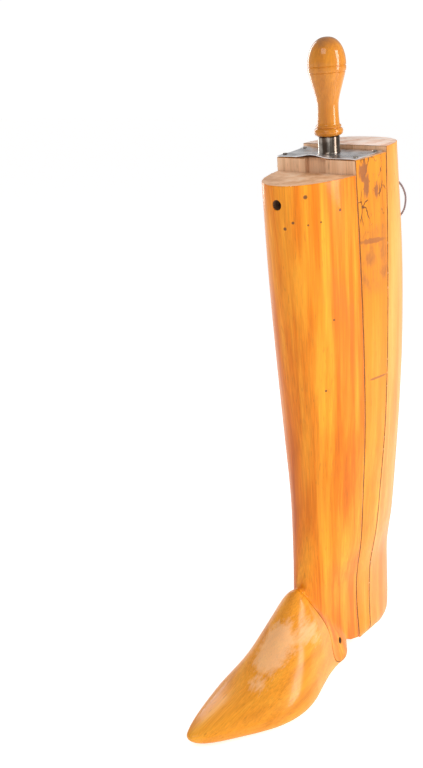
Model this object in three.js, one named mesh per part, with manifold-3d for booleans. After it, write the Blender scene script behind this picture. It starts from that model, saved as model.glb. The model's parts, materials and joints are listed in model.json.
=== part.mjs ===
// A riding-boot tree for the left foot: a hinged forefoot, a front leg, a rear leg and a tapered
// centre wedge between them. Pulling the handle lifts the wedge and lets the two legs close up.
// Millimetres. +Z up, toe towards -Y, outer side of the foot towards +X.
// The origin is the middle of the flat heel bottom, on the floor.
import * as THREE from 'three';
import { mergeVertices } from 'three/addons/utils/BufferGeometryUtils.js';
import Module from 'manifold-3d';

// ---- driving dimensions -------------------------------------------------------------------
const pinHeight = 25.5;           // hinge pin above the floor
const pinAhead = 90;              // hinge pin ahead of the heel's middle
const legLean = THREE.MathUtils.degToRad(7.1);   // the leg leans towards the toe
const wedgeTop = 480.5;           // heights along the leg, from the hinge pin
const shinStep = 11.8;            // the front leg's top below the wedge's
const calfStep = 4.8;             // the rear leg's top above it
const shinTop = wedgeTop - shinStep;
const calfTop = wedgeTop + calfStep;
const wedgeDepthTop = 44.1;       // wedge thickness, front to back, at its top
const wedgeFrontTop = 24;         // front face of the wedge behind the pin, at its top
const frontTaper = 0.0307;        // run of the wedge's front face per unit of height
const rearTaper = 0.0141;         // run of its rear face
const slideGap = 0.6;             // play on each sliding face
const fitGap = 0.35;              // gap between pieces that are fixed together

const lobeRadius = 20;            // rounded ears of the front leg, about the pin
const earHalfWidth = 25;          // the ears' outer faces at the pin
const tongueHalf = 11.5;          // half thickness of the forefoot's tongue
const tongueRadius = lobeRadius - 2;
const hingePlay = 0.4;
const lipBehind = 12;             // the sole's lip under the ears, behind the pin
const lobeStart = THREE.MathUtils.degToRad(148);      // where the ears leave the instep's line
const heelNotch = THREE.MathUtils.degToRad(-34.5);    // where they meet the heel's underside
const instepReach = 60;           // the joint's flat shoulder starts this far ahead of the pin
const shoulderRise = 30;          // and this far above the ankle line
const pinRadius = 2.5;
const pinRecess = 0.8;            // the pin's outer end below the ear's face
const plugRadius = 5.2;           // wooden plug over the pin's inner end
const plugDepth = 5;
const plugRecess = 0.6;

const grooveMouth = 20.5;         // dovetail grooves in the wedge
const grooveDepth = 6;
const dovetailFlare = THREE.MathUtils.degToRad(8);
const keyBottom = 125;            // lower end of the dovetail keys, along the leg
const keyTopInset = 3;            // upper end below the shin's top, or below the wedge's plate
const keyScrewCount = 3;
const keyScrewInset = 46;         // end screws from the ends of a key
const keyScrewRadius = 2;
const keyScrewHead = 3.9;
const keyScrewLength = 21;

const plateThickness = 1;
const plateInset = 0.4;
const plateNailRadius = 1;
const plateNailHead = 2.4;
const plateNailLength = 12;
const plateNailInset = 7;

const rodRadius = 4.2;
const rodInWedge = 62;
const rodInHandle = 34;
const ferruleRadius = 9.3;
const ferruleHeight = 14;
const handleHeight = 92.6;        // top of the knob above the wedge's plate
const knobRadius = 16;
const knobDome = 22;              // from the knob's widest line to its top
const collarRadius = 12.3;
// The handle's outline between ferrule and knob. Bead: height above its base and radius less the
// collar's. Neck: share of the way up to the knob's widest line and share of the knob's radius.
const beadOutline = [[0, 2.2], [2, 0.2], [4, 0], [6.4, 1.3]];
const neckOutline = [
  [0.124, 0.631],
  [0.249, 0.575],
  [0.444, 0.556],
  [0.658, 0.719],
  [0.833, 0.9],
  [0.9, 0.969],
];

const pullHoleRadius = 4.2;       // hole in the front of the front leg
const pullHoleDrop = 15.5;        // below its top
const pullHoleDepth = 34;
const cordRadius = 0.9;
const cordHoleRadius = 2.7;
const cordHoleDrop = 31;          // below the top of the rear leg
const knotRadius = 5.2;
const knotFlatness = 0.72;        // its thickness for its width
const knotRecessDepth = 10;       // recess for the knot in the rear leg's sliding face
const strandSide = 1.35;          // the two strands in the hole, off its middle line
// Half of the cord's loop, outside its hole: to the side, behind the leg and above the hole.
const loopHalf = [
  [1.65, 4.6, 0],
  [4.35, 9, -1.6],
  [8.6, 12.2, -5.2],
  [17.4, 14, -11.4],
  [24.2, 14.4, -20.6],
  [25.6, 14.4, -31],
  [22, 14.4, -41.6],
  [12.6, 14.2, -49.8],
];
const loopBottom = [0, 14, -53];

// Cross-sections of the leg, all three pieces together: half width, front and rear, by height,
// for a leg of the drawn height. Above the ankle the heights stretch with the wedge's top.
const drawnHeight = 480.5;
const ankleHeight = 57;
const legStations = [
  { height: -60, halfWidth: 24.8, front: -32, rear: 118 },
  { height: -25, halfWidth: 26, front: -32, rear: 122.5 },
  { height: 19, halfWidth: 24.6, front: -31.5, rear: 124 },
  { height: 57, halfWidth: 25.8, front: -30.2, rear: 122.3 },
  { height: 104, halfWidth: 33.2, front: -22.4, rear: 123 },
  { height: 160, halfWidth: 38.2, front: -17.6, rear: 124 },
  { height: 227, halfWidth: 43.2, front: -18.8, rear: 124.5 },
  { height: 302, halfWidth: 45.2, front: -23.6, rear: 127.5 },
  { height: 387, halfWidth: 45, front: -29, rear: 125.4 },
  { height: 485, halfWidth: 42.9, front: -33.5, rear: 114.5 },
  { height: 520, halfWidth: 42, front: -34.5, rear: 111 },
];
const frontRoundness = 2.2;       // superellipse exponents of the leg's front and rear halves
const rearRoundness = 2.5;

// Cross-sections of the foot, across its length: distance from the pin, inner and outer sides,
// sole, level of the widest line, ridge and where it lies, and how full the upper is.
const footStations = [
  { along: 30, inner: -17, outer: 17, sole: 4, wide: 12, ridge: 40, crest: 0, fullness: 1.6 },
  { along: 9, inner: -29.6, outer: 30.6, sole: 1, wide: 8, ridge: 58, crest: 0, fullness: 1.42 },
  { along: -12, inner: -29, outer: 33.4, sole: 0.9, wide: 9.5, ridge: 73, crest: 0, fullness: 1.52 },
  { along: -32, inner: -28, outer: 37.8, sole: 1.1, wide: 11.5, ridge: 86, crest: 0.5, fullness: 1.62 },
  { along: -43, inner: -28, outer: 40.8, sole: 1.2, wide: 12, ridge: 95.5, crest: 1, fullness: 1.62 },
  { along: -54, inner: -27.8, outer: 43.8, sole: 1, wide: 12, ridge: 89.5, crest: 2.5, fullness: 1.65 },
  { along: -72, inner: -28.2, outer: 48.8, sole: 0.5, wide: 12, ridge: 74.5, crest: 5.5, fullness: 1.7 },
  { along: -90, inner: -29.6, outer: 50.9, sole: 0, wide: 12, ridge: 57, crest: 8.5, fullness: 1.75 },
  { along: -108, inner: -30.6, outer: 49, sole: 0, wide: 11.5, ridge: 43.5, crest: 9, fullness: 1.85 },
  { along: -125, inner: -29.4, outer: 43.8, sole: 0.3, wide: 11.5, ridge: 33.5, crest: 7, fullness: 2 },
  { along: -143, inner: -26, outer: 34.8, sole: 1, wide: 11.5, ridge: 27, crest: 4.4, fullness: 2.1 },
  { along: -160, inner: -21.6, outer: 25.2, sole: 2.2, wide: 12, ridge: 23.2, crest: 1.8, fullness: 2.2 },
  { along: -175, inner: -17.2, outer: 16.6, sole: 3.6, wide: 12.5, ridge: 20.4, crest: -0.3, fullness: 2.2 },
  { along: -187, inner: -12.8, outer: 7.8, sole: 5.4, wide: 12.5, ridge: 17.6, crest: -2.5, fullness: 2.1 },
  { along: -193.5, inner: -9.4, outer: 1, sole: 8, wide: 12.5, ridge: 15.6, crest: -4.2, fullness: 2 },
  { along: -195.5, inner: -6.6, outer: -2.2, sole: 10.3, wide: 12.5, ridge: 14.2, crest: -4.4, fullness: 2 },
];
const soleRoundness = 3.2;
const heelEdgeHeight = 12;        // rounding of the heel's bottom edge, up the side
const heelEdgeInset = 8;          // and in from it

// The heel's underside behind the ears: [behind the pin, up the leg].
const heelLine = [[24, -17], [47, -pinHeight - 1.5]];

// The line where the forefoot meets the front leg, from the top of the instep down towards the
// ears: [behind the pin, up the leg].
const ankleLine = [[-34, 77], [-29.8, 64], [-24, 49.5], [-18, 34.5], [-15.4, 21]];

const legSegments = 44;
const footSegments = 40;
const across = 200;               // longer than any piece is wide
const far = 700;                  // beyond the object in every direction
const belowFloor = -100;          // a level along the leg that is under the floor everywhere

// ---- solids and booleans ------------------------------------------------------------------
const wasm = await Module();
wasm.setup();

function toSolid(geometry) {
  const bare = geometry.clone();
  bare.deleteAttribute('normal');
  bare.deleteAttribute('uv');
  const merged = mergeVertices(bare, 1e-4);
  const mesh = new wasm.Mesh({
    numProp: 3,
    vertProperties: new Float32Array(merged.attributes.position.array),
    triVerts: new Uint32Array(merged.index.array),
  });
  mesh.merge();
  return new wasm.Manifold(mesh);
}

function toGeometry(solid) {
  const mesh = solid.getMesh();
  const geometry = new THREE.BufferGeometry();
  geometry.setAttribute('position', new THREE.BufferAttribute(mesh.vertProperties, 3));
  geometry.setIndex(new THREE.BufferAttribute(mesh.triVerts, 1));
  geometry.computeVertexNormals();
  return geometry;
}

// The leg's own frame has its origin on the pin and its Z along the leg; this takes a shape
// drawn on the floor, with the pin overhead at the origin, into it.
const floorToLeg = new THREE.Matrix4()
  .makeTranslation(0, 0, pinHeight)
  .multiply(new THREE.Matrix4().makeRotationX(legLean))
  .invert();

// A prism across the leg whose outline is given as [behind the pin, up the leg] points.
function sidePrism(outline, width = across) {
  const shape = outline instanceof THREE.Shape
    ? outline
    : new THREE.Shape(outline.map(([behind, up]) => new THREE.Vector2(behind, up)));
  const geometry = new THREE.ExtrudeGeometry(shape, { depth: width, bevelEnabled: false, curveSegments: 20 });
  geometry.translate(0, 0, -width / 2);
  const basis = new THREE.Matrix4().makeBasis(
    new THREE.Vector3(0, 1, 0),
    new THREE.Vector3(0, 0, 1),
    new THREE.Vector3(1, 0, 0),
  );
  return toSolid(geometry.applyMatrix4(basis));
}

// A rod between two points, as a solid.
function rodSolid(from, to, radius, segments = 20) {
  const length = from.distanceTo(to);
  const geometry = new THREE.CylinderGeometry(radius, radius, length, segments);
  const turn = new THREE.Quaternion().setFromUnitVectors(
    new THREE.Vector3(0, 1, 0),
    to.clone().sub(from).normalize(),
  );
  geometry.applyQuaternion(turn);
  const middle = from.clone().add(to).multiplyScalar(0.5);
  return toSolid(geometry.translate(middle.x, middle.y, middle.z));
}

// Skins a row of rings that all have the same number of points, and closes both ends.
function loft(rings) {
  const count = rings[0].length;
  const positions = rings.flat().flatMap((point) => point.toArray());
  const index = [];
  for (let row = 0; row + 1 < rings.length; row += 1) {
    for (let i = 0; i < count; i += 1) {
      const a = row * count + i;
      const b = row * count + ((i + 1) % count);
      index.push(a, b, a + count, b, b + count, a + count);
    }
  }
  for (const [row, outward] of [[0, -1], [rings.length - 1, 1]]) {
    const centre = positions.length / 3;
    const middle = rings[row]
      .reduce((sum, point) => sum.add(point), new THREE.Vector3())
      .multiplyScalar(1 / count);
    positions.push(...middle.toArray());
    for (let i = 0; i < count; i += 1) {
      const a = row * count + i;
      const b = row * count + ((i + 1) % count);
      index.push(...(outward > 0 ? [a, b, centre] : [b, a, centre]));
    }
  }
  const geometry = new THREE.BufferGeometry();
  geometry.setAttribute('position', new THREE.Float32BufferAttribute(positions, 3));
  geometry.setIndex(index);
  return geometry;
}

// Smooth values between the rows of a table of stations.
function stationCurve(stations, key) {
  const names = Object.keys(stations[0]).filter((name) => name !== key);
  const rising = [...stations].sort((a, b) => a[key] - b[key]);
  const curve = new THREE.CubicInterpolant(
    rising.map((row) => row[key]),
    rising.flatMap((row) => names.map((name) => row[name])),
    names.length,
  );
  return (at) => {
    const values = curve.evaluate(at);
    return Object.fromEntries(names.map((name, i) => [name, values[i]]));
  };
}

const squircle = (value, exponent) => Math.sign(value) * Math.abs(value) ** (2 / exponent);

// ---- the whole leg and foot, before they are sawn apart ----------------------------------
const wedgeFront = (up) => wedgeFrontTop + (wedgeTop - up) * frontTaper;
const wedgeRear = (up) => wedgeFrontTop + wedgeDepthTop - (wedgeTop - up) * rearTaper;
const widestBehind = (up) => wedgeRear(up) - 2;
const stretch = (wedgeTop - ankleHeight) / (drawnHeight - ankleHeight);
const legAt = stationCurve(legStations.map((row) => ({
  ...row,
  height: ankleHeight + (row.height - ankleHeight) * (row.height > ankleHeight ? stretch : 1),
})), 'height');

function legRing(up) {
  const { halfWidth, front, rear } = legAt(up);
  const widest = widestBehind(up);
  return Array.from({ length: legSegments }, (_, i) => {
    const angle = (i / legSegments) * 2 * Math.PI;
    const forward = Math.sin(angle) < 0;
    const exponent = forward ? frontRoundness : rearRoundness;
    const reach = forward ? widest - front : rear - widest;
    return new THREE.Vector3(
      halfWidth * squircle(Math.cos(angle), exponent),
      widest + reach * squircle(Math.sin(angle), exponent),
      up,
    );
  });
}

function wholeLeg() {
  const low = -55;
  const high = calfTop + 20;
  const rows = 24;
  const rings = [];
  for (let row = 0; row <= rows; row += 1) {
    rings.push(legRing(low + ((high - low) * row) / rows));
  }
  return toSolid(loft(rings)).intersect(roundedHeel());
}

// Everything above the floor, with the bottom edge of the heel taken round.
function roundedHeel() {
  const plan = legRing(-pinHeight);
  const steps = 5;
  const rings = [];
  const addRing = (height, inset) => rings.push(plan.map((point) => {
    const arm = new THREE.Vector2(point.x, point.y - widestBehind(0));
    arm.setLength(arm.length() - inset);
    const ahead = Math.tan(legLean) * (height - pinHeight);
    return new THREE.Vector3(arm.x, widestBehind(0) + arm.y - ahead, height);
  }));
  for (let step = 0; step <= steps; step += 1) {
    const turn = (step / steps) * (Math.PI / 2);
    addRing(heelEdgeHeight * (1 - Math.cos(turn)), heelEdgeInset * (1 - Math.sin(turn)));
  }
  addRing(heelEdgeHeight + 4, -12);
  addRing(far, -200);
  return toSolid(loft(rings).applyMatrix4(floorToLeg));
}

function wholeFoot() {
  const footAt = stationCurve(footStations, 'along');
  const alongs = footStations.map((row) => row.along);
  const rings = [];
  const addRing = (along) => {
    const { inner, outer, sole, wide, ridge, crest, fullness } = footAt(along);
    const middle = (inner + outer) / 2;
    rings.push(Array.from({ length: footSegments }, (_, i) => {
      const angle = (i / footSegments) * 2 * Math.PI;
      const over = Math.sin(angle) > 0;
      const exponent = over ? fullness : soleRoundness;
      const rise = squircle(Math.sin(angle), exponent);
      const lean = over ? (crest - middle) * rise : 0;
      return new THREE.Vector3(
        middle + lean + ((outer - inner) / 2) * squircle(Math.cos(angle), exponent),
        along,
        wide + (over ? ridge - wide : wide - sole) * rise,
      );
    }));
  };
  alongs.forEach((along, i) => {
    addRing(along);
    if (i + 1 < alongs.length && along - alongs[i + 1] > 12) {
      addRing((along + alongs[i + 1]) / 2);
    }
  });
  return toSolid(loft(rings).applyMatrix4(floorToLeg));
}

// ---- the ankle joint, seen from the side --------------------------------------------------
const onCircle = (radius, angle) => (
  new THREE.Vector2(Math.cos(angle), Math.sin(angle)).multiplyScalar(radius)
);

// Points from the instep down towards the pin and round under the ears as far as endAngle.
function jointCurve(play, endAngle) {
  const radius = lobeRadius + play;
  const line = new THREE.SplineCurve([
    ...ankleLine.map(([behind, up]) => new THREE.Vector2(behind - play, up - play * 0.4)),
    onCircle(radius, lobeStart),
  ]).getPoints(16);
  const steps = 22;
  const sweep = endAngle + 2 * Math.PI - lobeStart;
  const round = Array.from({ length: steps }, (_, i) => (
    onCircle(radius, lobeStart + (sweep * (i + 1)) / steps)
  ));
  return [...line, ...round].map((point) => [point.x, point.y]);
}

const lipAngle = -Math.acos(lipBehind / (lobeRadius + hingePlay));
const shoulder = [-instepReach, ankleLine[0][1] + shoulderRise];
const tongueFoot = -lobeRadius - 6;

function legSide() {
  return sidePrism([
    [-instepReach, far],
    shoulder,
    ...jointCurve(0, heelNotch),
    ...heelLine,
    [heelLine[1][0] + 13, -far],
    [far, -far],
    [far, far],
  ]);
}

function footSide() {
  return sidePrism([
    [-far, shoulder[1]],
    shoulder,
    ...jointCurve(hingePlay, lipAngle),
    [lipBehind, -far],
    [-far, -far],
  ]);
}

// The forefoot's tongue between the ears, which runs down into the sole's lip.
function tongue() {
  const outline = new THREE.Shape();
  outline.absarc(0, 0, tongueRadius, Math.PI / 2, lipAngle, true);
  outline.lineTo(lipBehind, tongueFoot);
  outline.lineTo(tongueFoot, tongueFoot);
  outline.lineTo(tongueFoot, tongueRadius);
  outline.closePath();
  return sidePrism(outline, 2 * tongueHalf);
}

// The slot that the tongue turns in, open underneath as far back as the heel's notch.
function tongueSlot() {
  const radius = tongueRadius + hingePlay;
  const notch = onCircle(lobeRadius + 4, heelNotch);
  const outline = new THREE.Shape();
  outline.absarc(0, 0, radius, Math.PI / 2, heelNotch, true);
  outline.lineTo(notch.x, notch.y);
  outline.lineTo(lipBehind, -2 * lobeRadius);
  outline.lineTo(-far, -2 * lobeRadius);
  outline.lineTo(-far, radius);
  outline.closePath();
  return sidePrism(outline, 2 * (tongueHalf + hingePlay));
}

// ---- wedge, keys and their screws ----------------------------------------------------------
const frontSide = () => sidePrism([
  [-far, -far],
  [wedgeFront(-far) - slideGap / 2, -far],
  [wedgeFront(far) - slideGap / 2, far],
  [-far, far],
]);
const middleSide = () => sidePrism([
  [wedgeFront(belowFloor) + slideGap / 2, belowFloor],
  [wedgeRear(belowFloor) - slideGap / 2, belowFloor],
  [wedgeRear(wedgeTop) - slideGap / 2, wedgeTop],
  [wedgeFront(wedgeTop) + slideGap / 2, wedgeTop],
]);
const rearSide = () => sidePrism([
  [wedgeRear(-far) + slideGap / 2, -far],
  [far, -far],
  [far, far],
  [wedgeRear(far) + slideGap / 2, far],
]);
const above = (up) => sidePrism([[-far, up], [far, up], [far, far], [-far, far]]);

// A face of the wedge as a frame: the origin on its middle line at a height, Z up along the
// face and Y pointing into the wedge.
function wedgeFace(isFront, up) {
  const behind = isFront ? wedgeFront(up) : wedgeRear(up);
  const alongFace = new THREE.Vector3(0, isFront ? -frontTaper : rearTaper, 1).normalize();
  const side = new THREE.Vector3(isFront ? 1 : -1, 0, 0);
  const inward = alongFace.clone().cross(side);
  const frame = new THREE.Matrix4().makeBasis(side, inward, alongFace);
  return frame.setPosition(0, behind, up);
}

// A dovetail bar on a face of the wedge: shrink > 0 makes the key, 0 the groove.
function dovetail(isFront, low, high, start, shrink) {
  const depth = grooveDepth - shrink;
  const half = grooveMouth / 2 - shrink;
  const flare = Math.tan(dovetailFlare);
  const outline = new THREE.Shape([
    new THREE.Vector2(-half - start * flare, start),
    new THREE.Vector2(half + start * flare, start),
    new THREE.Vector2(half + depth * flare, depth),
    new THREE.Vector2(-half - depth * flare, depth),
  ]);
  const geometry = new THREE.ExtrudeGeometry(outline, { depth: high - low, bevelEnabled: false });
  return toSolid(geometry.applyMatrix4(wedgeFace(isFront, low)));
}

const keyTop = (isFront) => (isFront ? shinTop : wedgeTop) - keyTopInset;

function keyScrewPlaces(isFront) {
  const top = keyTop(isFront);
  return Array.from({ length: keyScrewCount }, (_, i) => (
    keyBottom + keyScrewInset + ((top - keyBottom - 2 * keyScrewInset) * i) / (keyScrewCount - 1)
  ));
}

// A countersunk screw, its head flush with the key's outer face, pointing out of the wedge.
function keyScrew(isFront, up, play = 0) {
  const head = grooveDepth - slideGap - 0.2;
  const profile = [
    new THREE.Vector2(0, head + (play > 0 ? 2 : 0)),
    new THREE.Vector2(keyScrewHead + play, head + (play > 0 ? 2 : 0)),
    new THREE.Vector2(keyScrewHead + play, head - 0.4),
    new THREE.Vector2(keyScrewRadius + play, head - 2.4),
    new THREE.Vector2(keyScrewRadius + play, head - keyScrewLength + 4),
    new THREE.Vector2(0, head - keyScrewLength - play),
  ];
  return toSolid(new THREE.LatheGeometry(profile.reverse(), 14).applyMatrix4(wedgeFace(isFront, up)));
}

const keyScrews = (isFront, play) => keyScrewPlaces(isFront)
  .map((up) => keyScrew(isFront, up, play))
  .reduce((sum, solid) => sum.add(solid));

function dovetailKey(isFront) {
  return dovetail(isFront, keyBottom, keyTop(isFront), -slideGap / 2 + fitGap - 0.05, slideGap)
    .subtract(keyScrews(isFront, fitGap));
}

// ---- handle ---------------------------------------------------------------------------------
const handleBehind = (wedgeFront(wedgeTop) + wedgeRear(wedgeTop)) / 2;
const onPlate = wedgeTop + fitGap + plateThickness + fitGap;

// A solid turned about the handle's axis, from [radius, height above the plate] points.
function turned(points, segments = 28) {
  const profile = points.map(([radius, up]) => new THREE.Vector2(radius, up));
  const geometry = new THREE.LatheGeometry(profile, segments);
  geometry.rotateX(Math.PI / 2);
  return toSolid(geometry.translate(0, handleBehind, onPlate));
}

function handle() {
  const top = handleHeight;
  const base = ferruleHeight + fitGap;
  const widest = top - knobDome;
  const bore = rodRadius + fitGap;
  const collar = new THREE.SplineCurve(beadOutline.map(([rise, less]) => (
    new THREE.Vector2(collarRadius - less, base + rise)
  ))).getPoints(5);
  const neck = new THREE.SplineCurve(neckOutline.map(([share, part]) => (
    new THREE.Vector2(knobRadius * part, base + (widest - base) * share)
  ))).getPoints(14);
  const band = [[knobRadius - 1, widest - 5.2], [knobRadius - 0.2, widest - 4.7], [knobRadius, widest - 1]];
  const knob = Array.from({ length: 10 }, (_, i) => {
    const angle = (i / 9) * (Math.PI / 2);
    return [knobRadius * Math.cos(angle) ** 0.85, widest + (top - widest) * Math.sin(angle)];
  });
  knob[9][0] = 0;
  return turned([
    [0, ferruleHeight + rodInHandle + fitGap],
    [bore, ferruleHeight + rodInHandle + fitGap],
    [bore, base],
    ...collar.map((point) => [point.x, point.y]),
    ...neck.map((point) => [point.x, point.y]),
    ...band,
    [knobRadius - 0.7, widest - 0.5],
    ...knob,
  ]);
}

function ferrule() {
  const bore = rodRadius + fitGap;
  return turned([
    [bore, 0],
    [ferruleRadius + 0.4, 0],
    [ferruleRadius, 1.2],
    [ferruleRadius, ferruleHeight - 0.8],
    [ferruleRadius - 0.6, ferruleHeight],
    [bore, ferruleHeight],
    [bore, 0],
  ]);
}

function handleRod(play = 0) {
  const low = -(onPlate - wedgeTop) - rodInWedge;
  return turned([
    [0, low - play],
    [rodRadius - 0.6 + play, low - play],
    [rodRadius + play, low + 0.8 - play],
    [rodRadius + play, ferruleHeight + rodInHandle],
    [0, ferruleHeight + rodInHandle],
  ], 20);
}

// ---- plate and its nails --------------------------------------------------------------------
function plateNailPlaces() {
  const half = legAt(wedgeTop).halfWidth - plateNailInset;
  const front = wedgeFront(wedgeTop) + plateNailInset;
  const rear = wedgeRear(wedgeTop) - plateNailInset;
  return [[-half, front], [half, front], [half, rear], [-half, rear]];
}

function plateNail([side, behind], play = 0) {
  const under = plateThickness + 2 * fitGap;
  const profile = [
    new THREE.Vector2(0, -plateNailLength - play),
    new THREE.Vector2(plateNailRadius + play, -plateNailLength + 3),
    new THREE.Vector2(plateNailRadius + play, under),
    new THREE.Vector2(play > 0 ? plateNailRadius + play : plateNailHead, under),
    new THREE.Vector2(play > 0 ? plateNailRadius + play : plateNailHead * 0.8, under + 0.7),
    new THREE.Vector2(0, under + (play > 0 ? 0.7 : 0.9)),
  ];
  const geometry = new THREE.LatheGeometry(profile, 14).rotateX(Math.PI / 2);
  return toSolid(geometry.translate(side, behind, wedgeTop));
}

const plateNails = (play) => plateNailPlaces()
  .map((place) => plateNail(place, play))
  .reduce((sum, solid) => sum.add(solid));

function wedgePlate() {
  const low = wedgeTop + fitGap;
  const half = wedgeHalfWidth(wedgeTop) - plateInset;
  const front = wedgeFront(wedgeTop) + slideGap / 2 + plateInset;
  const rear = wedgeRear(wedgeTop) - slideGap / 2 - plateInset;
  const plate = new THREE.BoxGeometry(2 * half, rear - front, plateThickness);
  plate.translate(0, (front + rear) / 2, low + plateThickness / 2);
  return toSolid(plate).subtract(handleRod(fitGap)).subtract(plateNails(fitGap));
}

// Half width of the leg where the wedge's front face comes out of its side.
function wedgeHalfWidth(up) {
  const { halfWidth, front } = legAt(up);
  const widest = widestBehind(up);
  const share = (widest - wedgeFront(up)) / (widest - front);
  return halfWidth * (1 - share ** frontRoundness) ** (1 / frontRoundness);
}

// ---- hinge pin and plug ------------------------------------------------------------------------
function hingePin(play = 0) {
  const inner = -earHalfWidth + plugDepth - play;
  const outer = earHalfWidth + (play > 0 ? 12 : -pinRecess);
  return rodSolid(new THREE.Vector3(inner, 0, 0), new THREE.Vector3(outer, 0, 0), pinRadius + play);
}

function pinPlug(play = 0) {
  const face = -earHalfWidth + (play > 0 ? -12 : plugRecess);
  const inner = -earHalfWidth + plugDepth - fitGap + play;
  return rodSolid(new THREE.Vector3(face, 0, 0), new THREE.Vector3(inner, 0, 0), plugRadius + play, 24);
}

// ---- the pull hole, the cord and its knot ---------------------------------------------------
function pullHole() {
  const up = shinTop - pullHoleDrop;
  const mouth = new THREE.Vector3(0, legAt(up).front, up);
  const drill = new THREE.Vector3(0, 1, 0).transformDirection(floorToLeg);
  return rodSolid(
    mouth.clone().addScaledVector(drill, -20),
    mouth.clone().addScaledVector(drill, pullHoleDepth),
    pullHoleRadius,
    24,
  );
}

const cordUp = calfTop - cordHoleDrop;
const knotFace = wedgeRear(cordUp) + slideGap / 2;

function cordHole() {
  return rodSolid(
    new THREE.Vector3(0, knotFace + 2, cordUp),
    new THREE.Vector3(0, legAt(cordUp).rear + 20, cordUp),
    cordHoleRadius,
    20,
  ).add(rodSolid(
    new THREE.Vector3(0, knotFace - 3, cordUp),
    new THREE.Vector3(0, knotFace + knotRecessDepth, cordUp),
    knotRadius + 1.2,
    24,
  ));
}

function cordKnot() {
  const middle = knotFace + knotRecessDepth - knotRadius * knotFlatness - fitGap;
  const geometry = new THREE.SphereGeometry(knotRadius, 20, 12);
  geometry.scale(1, knotFlatness, 0.86);
  return toSolid(geometry.translate(0, middle, cordUp));
}

// The loop leaves the hole, hangs behind the leg and comes back into the hole beside itself.
function cordRoute() {
  const rear = legAt(cordUp).rear;
  const inside = knotFace + knotRecessDepth + 1 - rear;
  const half = [
    [strandSide, inside, 0],
    [strandSide, inside / 2, 0],
    [strandSide, 0, 0],
    ...loopHalf,
  ];
  const mirror = half.map(([side, behind, up]) => [-side, behind, up]).reverse();
  return [...half, loopBottom, ...mirror]
    .map(([side, behind, up]) => new THREE.Vector3(side, rear + behind, cordUp + up));
}

function pullCord() {
  const path = new THREE.CatmullRomCurve3(cordRoute());
  const section = new THREE.Shape();
  section.absarc(0, 0, cordRadius, 0, 2 * Math.PI);
  return new THREE.ExtrudeGeometry(section, { steps: 76, curveSegments: 4, extrudePath: path });
}

// ---- materials -------------------------------------------------------------------------------
const finish = (color, roughness, metalness = 0) => (
  new THREE.MeshStandardMaterial({ color, roughness, metalness })
);
const honeyWood = finish(0xd98a35, 0.28);
const wedgeWood = finish(0xd9a05a, 0.4);
const keyWood = finish(0xb98a5c, 0.6);
const turnedWood = finish(0xcf7f2e, 0.25);
const plugWood = finish(0xd9a866, 0.45);
const tinplate = finish(0xb9bcc2, 0.4, 1);
const steel = finish(0x8c8a86, 0.25, 1);
const darkSteel = finish(0x4a443e, 0.45, 1);
const cordFibre = finish(0x9a8f97, 0.85);

// ---- assembly ------------------------------------------------------------------------------
const leg = new THREE.Group();
leg.position.set(0, -pinAhead, pinHeight);
leg.rotation.x = legLean;

function addPiece(name, shape, material) {
  const mesh = new THREE.Mesh(shape.isBufferGeometry ? shape : toGeometry(shape), material);
  mesh.name = name;
  leg.add(mesh);
}

const whole = wholeLeg().add(wholeFoot());

addPiece('shin_leg', whole
  .intersect(legSide())
  .intersect(frontSide())
  .subtract(above(shinTop))
  .subtract(tongueSlot())
  .subtract(hingePin(fitGap))
  .subtract(pinPlug(fitGap))
  .subtract(keyScrews(true, fitGap))
  .subtract(pullHole()), honeyWood);

addPiece('forefoot', whole
  .intersect(footSide())
  .add(whole.intersect(tongue()))
  .subtract(hingePin(fitGap)), honeyWood);

addPiece('wedge', whole
  .intersect(legSide())
  .intersect(middleSide())
  .subtract(dovetail(true, belowFloor, wedgeTop + 20, -3, 0))
  .subtract(dovetail(false, belowFloor, wedgeTop + 20, -3, 0))
  .subtract(handleRod(fitGap))
  .subtract(plateNails(fitGap)), wedgeWood);

addPiece('calf_leg', whole
  .intersect(rearSide())
  .subtract(above(calfTop))
  .subtract(keyScrews(false, fitGap))
  .subtract(cordHole()), honeyWood);

addPiece('shin_key', dovetailKey(true), keyWood);
addPiece('calf_key', dovetailKey(false), keyWood);
for (const isFront of [true, false]) {
  keyScrewPlaces(isFront).forEach((up, i) => {
    addPiece(`${isFront ? 'shin' : 'calf'}_key_screw_${i + 1}`, keyScrew(isFront, up), darkSteel);
  });
}
addPiece('hinge_pin', hingePin(), darkSteel);
addPiece('pin_plug', pinPlug(), plugWood);
addPiece('wedge_plate', wedgePlate(), tinplate);
plateNailPlaces().forEach((place, i) => addPiece(`plate_nail_${i + 1}`, plateNail(place), steel));
addPiece('handle_rod', handleRod(), darkSteel);
addPiece('ferrule', ferrule(), steel);
addPiece('handle', handle(), turnedWood);
addPiece('cord_knot', cordKnot(), cordFibre);
addPiece('pull_cord', pullCord(), cordFibre);

const bootTree = new THREE.Group();
bootTree.add(leg);
export default bootTree;
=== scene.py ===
import json
import math

import bmesh
import bpy
from mathutils import Matrix, Vector


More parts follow.
